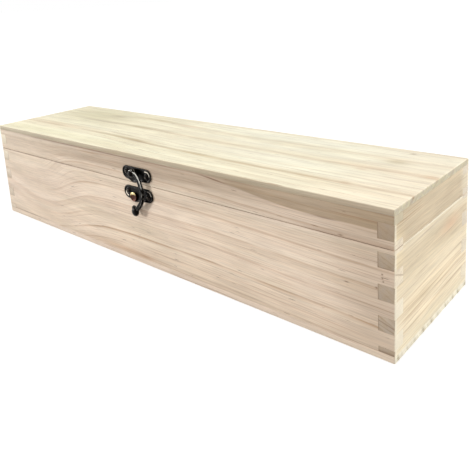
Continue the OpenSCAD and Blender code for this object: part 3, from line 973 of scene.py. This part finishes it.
def plate_edge(p):
    """Distance outside the edge of a latch plate, with the hollows between its lobe and ends filleted."""
    bars = (
        (PLATE_LEFT, PLATE_RIGHT, PLATE_END_R), (PLATE_LEFT, LOBE, LOBE_R), (PLATE_RIGHT, LOBE, LOBE_R))
    gaps = [segment_distance(p, a, b) - r for a, b, r in bars]
    blended = -HOLLOW_FILLET * math.log(sum(math.exp(-gap / HOLLOW_FILLET) for gap in gaps))
    return max(blended, min(gaps) - HOLLOW_MOST)


def plate_ring(inset, height, count=200, halvings=26):
    """Points of a latch plate at one distance inside its edge."""
    ring = []
    for k in range(count):
        a = math.tau * k / count
        near, far = 0.0, PLATE_L
        for _ in range(halvings):
            r = (near + far) / 2
            inside = plate_edge(on_circle(PLATE_MIDDLE, r, a)) < -inset
            near, far = (r, far) if inside else (near, r)
        ring.append(on_circle(PLATE_MIDDLE, near, a, height))
    return ring


def plate_shells(holes):
    """A stamped plate: a rounded rim round a sunk field, with a flat seat round each hole."""
    shells = Shells()
    shells.rings([plate_ring(inset, height * PLATE_T) for inset, height in PLATE_SECTION])
    for hole in holes:
        shells.turned(hole, SCREW_SEAT)
    return shells


# Hook: the way it sets out from the rivet, its bends to the right, each a radius and an angle, and the
# straight tail to the knob
HOOK_LEAN = 18
HOOK_BENDS = ((5.7, 78), (24.0, 30), (13.0, 45))
HOOK_TAIL = 7.5
# Eye round the rivet, the knob at the end, and the curl beside it with the way that it lies from the knob
HOOK_HEAD_R = 3.1
HEAD_PROUD = 0.08
KNOB_R = 3.5
KNOB_T = 3.6
CURL_T = 2.5
CURL_R = 1.9
CURL_TURN = 116
# How many points of its path the arm leaves to the eye
ARM_START = 6
# Section of the arm, in half widths to the left and in thicknesses out of the wood
ARM_SECTION = (
    (1, -0.3), (1, 0.1), (0.5, 0.5), (-0.8, 0.42), (-1, 0.22), (-1, -0.3), (-0.86, -0.5), (0.86, -0.5),
)
# The painted highlight on its bevelled shoulder: place in the section, half width, and the shares of the
# way where it begins to fade and where it ends
CREST = (0.74, 0.3)
CREST_W = 0.21
CREST_FADE = (0.22, 0.52)


def hook_path(step=0.3):
    """Points and headings along the middle of the hook's arm, up to the middle of the knob."""
    u, v, heading = 0.0, 0.0, math.radians(HOOK_LEAN)
    path = []
    for radius, turn in (*HOOK_BENDS, (None, None)):
        length = HOOK_TAIL if radius is None else radius * math.radians(turn)
        count = round(length / step)
        for _ in range(count):
            path.append((u, v, heading))
            if radius is not None:
                heading -= length / count / radius
            u += math.cos(heading) * length / count
            v += math.sin(heading) * length / count
    path.append((u, v, heading))
    return path


def round_edge(r, t, middle):
    """Profile of a button with a full round edge."""
    edge = t / 2
    rim = [(r - edge + edge * math.cos(a), middle + edge * math.sin(a))
           for a in map(math.radians, range(-90, 100, 10))]
    return [(0.2 * r, middle - edge), *rim, (0.2 * r, middle + edge)]


def ball(r, t, middle):
    """Profile of a flattened ball."""
    return [(r * math.cos(a) ** 0.8, middle + t / 2 * math.sin(a))
            for a in map(math.radians, range(-84, 90, 8))]


def beside(stop, across, out):
    """A point of the arm's section at a stop on its path."""
    u, v, heading = stop
    a = across * HOOK_W / 2
    return (u - math.sin(heading) * a, v + math.cos(heading) * a, HOOK_MIDDLE + out * HOOK_T)


def crest_highlight():
    """Points of the painted highlight along the shoulder, each with its strength."""
    path = hook_path()
    fade_from, fade_to = (round(len(path) * share) for share in CREST_FADE)
    highlight_points = []
    for k in range(fade_to):
        strength = min(1, (fade_to - k) / (fade_to - fade_from))
        highlight_points.append((*beside(path[k], *CREST), strength))
    return highlight_points


def hook_shells():
    """The hook: its arm, the eye round the rivet, the knob and the curl."""
    shells = Shells()
    path = hook_path()
    shells.rings([[beside(stop, *corner) for corner in ARM_SECTION] for stop in path[ARM_START:]])
    low, high = HOOK_BACK - HEAD_PROUD, HOOK_FRONT + HEAD_PROUD
    bore = RIVET_R + FIT
    shells.ring((0, 0), bore, [(bore, low), (HOOK_HEAD_R - 0.3, low), (HOOK_HEAD_R, low + 0.3),
                               (HOOK_HEAD_R, high - 0.7), (HOOK_HEAD_R - 0.7, high), (bore, high)])
    u, v, heading = path[-1]
    shells.turned((u, v), ball(KNOB_R, KNOB_T, HOOK_MIDDLE))
    curl = on_circle((u, v), KNOB_R - CURL_R / 4, heading - math.radians(CURL_TURN))
    shells.turned(curl, round_edge(CURL_R, CURL_T, HOOK_MIDDLE))
    return shells


def values_of(items, key, width=3, kind=np.float32):
    """A value of every vertex, edge or attribute entry, one row each."""
    values = np.empty(len(items) * width, kind)
    items.foreach_get(key, values)
    return values.reshape(-1, width)


# Share of the way to its neighbours' mean that a value goes in one round of evening out, and how many
# rounds the measure of what stands proud is given
EVENING = 0.5
PROUD_ROUNDS = 4


def neighbours_mean(points, edges):
    """The mean of each point's neighbours along the edges."""
    ends, others = edges.ravel(), edges[:, ::-1].ravel()
    count = np.bincount(ends, minlength=len(points))
    sums = [np.bincount(ends, points[others, k], len(points)) for k in range(points.shape[1])]
    return np.stack(sums, 1) / count[:, None]


def cast(name, body, node, mesh, material, grain, relax=3):
    """Remeshes closed shells into one skin with cells of the size grain, relaxes it, and marks how far each
    spot stands proud, where it is abraded bright. The piece then stands for the CAD node."""
    piece = link(name, mesh)
    skin = piece.modifiers.new("skin", "REMESH")
    skin.mode = "VOXEL"
    skin.voxel_size = grain * MM
    skin.adaptivity = 0
    made = bpy.data.meshes.new_from_object(piece.evaluated_get(bpy.context.evaluated_depsgraph_get()))
    piece.modifiers.clear()
    made.name = name
    piece.data = made
    points = values_of(made.vertices, "co").astype(float)
    edges = values_of(made.edges, "vertices", 2, np.int32)
    for _ in range(relax):
        points += EVENING * (neighbours_mean(points, edges) - points)
    made.vertices.foreach_set("co", points.astype(np.float32).ravel())
    made.update()
    normals = values_of(made.vertices, "normal").astype(float)
    proud = ((points - neighbours_mean(points, edges)) * normals).sum(1) / (grain * MM) ** 2 * MM
    for _ in range(PROUD_ROUNDS):
        proud = (1 - EVENING) * proud + EVENING * neighbours_mean(proud[:, None], edges)[:, 0]
    wear_and_highlight = made.attributes.new("wear_and_highlight", "FLOAT", "POINT")
    wear_and_highlight.data.foreach_set("value", proud.astype(np.float32))
    made.materials.clear()
    made.materials.append(material)
    made.shade_smooth()
    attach(piece, body)
    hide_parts(node)
    return piece


def add_wear_and_highlight(piece, place, line, width, amount=1.0):
    """Brightens a piece along a line of points of its mounting plane, each with its own strength; it paints
    highlights and reflections, and abraded brass on the catch.
    """
    points = values_of(piece.data.vertices, "co")
    added = np.zeros(len(points), np.float32)
    for *spot_mm, strength in line:
        stop = np.array((place @ Vector(spot_mm)) * MM, np.float32)
        gap = ((points - stop) ** 2).sum(1) / (width * MM) ** 2
        added = np.maximum(added, strength * np.exp(-gap))
    wear_and_highlight = piece.data.attributes["wear_and_highlight"].data
    wear_and_highlight.foreach_set("value", values_of(wear_and_highlight, "value", 1)[:, 0] + amount * added)


def arc(centre, r, start, end, height, count=24):
    """Points of an arc between two angles in degrees, each with a strength that fades to both ends."""
    points = []
    for k in range(count + 1):
        a = math.radians(start + (end - start) * k / count)
        strength = math.sin(math.pi * k / count) ** 0.5
        points.append(on_circle(centre, r, a, height, strength))
    return points


def shells_mesh(shells, place):
    mesh = bpy.data.meshes.new("shells")
    mesh.from_pydata([(place @ p) * MM for p in shells.points], [], shells.faces)
    mesh.update()
    return mesh


# ---- Metal ----

# Finishes: dark patina, its brown patches, bright metal for abraded spots and painted highlights, how proud
# a spot is where the bright metal begins and where it is complete, and roughness
FINISHES = {
    "bronze_plate": (srgb(9, 8, 7), srgb(24, 18, 15), srgb(214, 204, 188), 0.3, 0.75, 0.34),
    "bronze_hook": (srgb(9, 8, 7), srgb(20, 16, 13), srgb(236, 232, 222), 0.22, 0.5, 0.28),
    "bronze_screw": (srgb(12, 10, 9), srgb(24, 19, 18), srgb(150, 138, 126), 0.5, 1.1, 0.34),
    "bronze_catch": (srgb(54, 28, 20), srgb(78, 44, 28), srgb(220, 202, 148), 0.6, 1.1, 0.34),
    "bronze_leaf": (srgb(44, 36, 29), srgb(66, 51, 38), srgb(176, 148, 108), 0.3, 0.8, 0.4),
    "bronze_hinge_screw": (srgb(34, 29, 25), srgb(50, 41, 33), srgb(190, 168, 130), 0.3, 0.9, 0.34),
}
# Sizes of the remeshed cells
GRAIN_PLATE, GRAIN_HOOK, GRAIN_RIVET, GRAIN_SCREW = 0.17, 0.16, 0.13, 0.11
GRAIN_LEAF, GRAIN_PIN = 0.2, 0.12


def bronze(name, dark, brown, bright_metal, bright_from, bright_to, rough):
    """Antique bronze: a dark patina with brown patches, abraded bright where it stands proud and where
    highlights are painted.
    """
    graph = new_graph(name)
    x, y, z = graph.object_mm()
    given = graph.node("ShaderNodeAttribute", attribute_name="wear_and_highlight")
    proud = Num(graph, given.outputs["Fac"])
    patch = graph.noise(x / 1.7, y / 1.7, z / 1.7, detail=3, rough=0.6)
    cloud = graph.noise(x / 0.5 + 9, y / 0.5, z / 0.5, detail=2)
    bright_share = (proud + (patch - 0.5) * 0.35).ramp(bright_from, bright_to)
    patina = graph.mix(patch.ramp(0.4, 0.75), dark, brown)
    shader = graph.node("ShaderNodeBsdfPrincipled")
    graph.feed(shader.inputs["Base Color"], graph.mix(bright_share, patina, bright_metal))
    shader.inputs["Metallic"].default_value = 1
    roughness = cloud.ramp(0.3, 0.7, rough - 0.06, rough + 0.1) - bright_share * 0.08
    graph.feed(shader.inputs["Roughness"], roughness)
    graph.bumped(shader, cloud + patch, 0.25, 0.04)
    return graph.finish(shader)


def make_latch(metals):
    plate, screw = metals["bronze_plate"], metals["bronze_screw"]
    on_lid, on_base = on_front(LATCH_X, LID_PLATE_Z), on_front(LATCH_X, BASE_PLATE_Z)
    at_rivet = on_front(LATCH_X + RIVET[0], LID_PLATE_Z + RIVET[1])
    at_catch = on_front(LATCH_X + CATCH[0], BASE_PLATE_Z + CATCH[1])
    # Painted reflections: the plates are brightened along the inside of their rims
    inner_r = PLATE_END_R - FIELD_INSET
    lid_plate = plate_shells(PLATE_SCREWS)
    lid_plate.ring(RIVET, RIVET_R + FIT, BOSS)
    piece = cast("lid_plate", "lid", "latch_lid_plate",
                 shells_mesh(lid_plate, on_lid), plate, GRAIN_PLATE)
    add_wear_and_highlight(piece, on_lid, arc(PLATE_RIGHT, inner_r, -5, 120, FIELD_H), 0.4, 2)
    straight = [(PLATE_RIGHT[0] - 0.3 * k, inner_r, FIELD_H, 1 - k / 14) for k in range(14)]
    add_wear_and_highlight(piece, on_lid, straight, 0.4)
    base_plate = plate_shells((*PLATE_SCREWS, CATCH))
    piece = cast("base_plate", "base", "latch_base_plate",
                 shells_mesh(base_plate, on_base), plate, GRAIN_PLATE)
    # Painted reflections along the base plate's rims
    add_wear_and_highlight(piece, on_base, arc(PLATE_RIGHT, inner_r, 0, 110, FIELD_H), 0.4, 2)
    add_wear_and_highlight(piece, on_base, arc(PLATE_LEFT, inner_r, 180, 265, FIELD_H), 0.4, 2)
    piece = cast("hook", "hook", "latch_hook",
                 shells_mesh(hook_shells(), at_rivet), metals["bronze_hook"], GRAIN_HOOK, 4)
    # Painted highlight along the arm's shoulder
    add_wear_and_highlight(piece, at_rivet, crest_highlight(), CREST_W)
    # Painted highlight over the top of the eye
    add_wear_and_highlight(piece, at_rivet, arc((0, 0), HOOK_HEAD_R - 0.4, 30, 110, HOOK_FRONT), 0.3, 0.2)
    rivet = Shells()
    rivet.turned((0, 0), RIVET_PROFILE)
    cast("rivet", "lid", "latch_rivet", shells_mesh(rivet, at_rivet), screw, GRAIN_RIVET)
    peg = Shells()
    peg.turned((0, 0), CATCH_PROFILE)
    piece = cast("catch", "base", "latch_catch",
                 shells_mesh(peg, at_catch), metals["bronze_catch"], GRAIN_RIVET)
    # Abraded brass on the catch's rim, with a painted highlight on its upper side
    add_wear_and_highlight(piece, at_catch, arc((0, 0), 2.5, 30, 165, CATCH_RIM_H), 1.15, 1.4)
    for body in ("lid", "base"):
        node = f"latch_{body}_screws"
        cast(f"{body}_plate_screws", body, node, cad_mesh(node), screw, GRAIN_SCREW, 1)


def make_hinges(metals):
    leaf, screw = metals["bronze_leaf"], metals["bronze_hinge_screw"]
    for side in ("left", "right"):
        for body in ("base", "lid"):
            name = f"hinge_{side}_{body}"
            cast(f"{name}_plate", body, f"{name}_leaf",
                 cad_mesh(f"{name}_leaf"), leaf, GRAIN_LEAF, 1)
            cast(f"{name}_fixings", body, f"{name}_screws",
                 cad_mesh(f"{name}_screws"), screw, GRAIN_PIN, 1)
        cast(f"hinge_{side}_spindle", "base", f"hinge_{side}_pin",
             cad_mesh(f"hinge_{side}_pin"), screw, GRAIN_PIN, 1)


# ---- Making ----

make_camera()
make_world()
make_floor()
make_lamps()
make_boards()
metals = {name: bronze(name, *finish) for name, finish in FINISHES.items()}
make_latch(metals)
make_hinges(metals)

bpy.context.scene.view_settings.view_transform = "Standard"
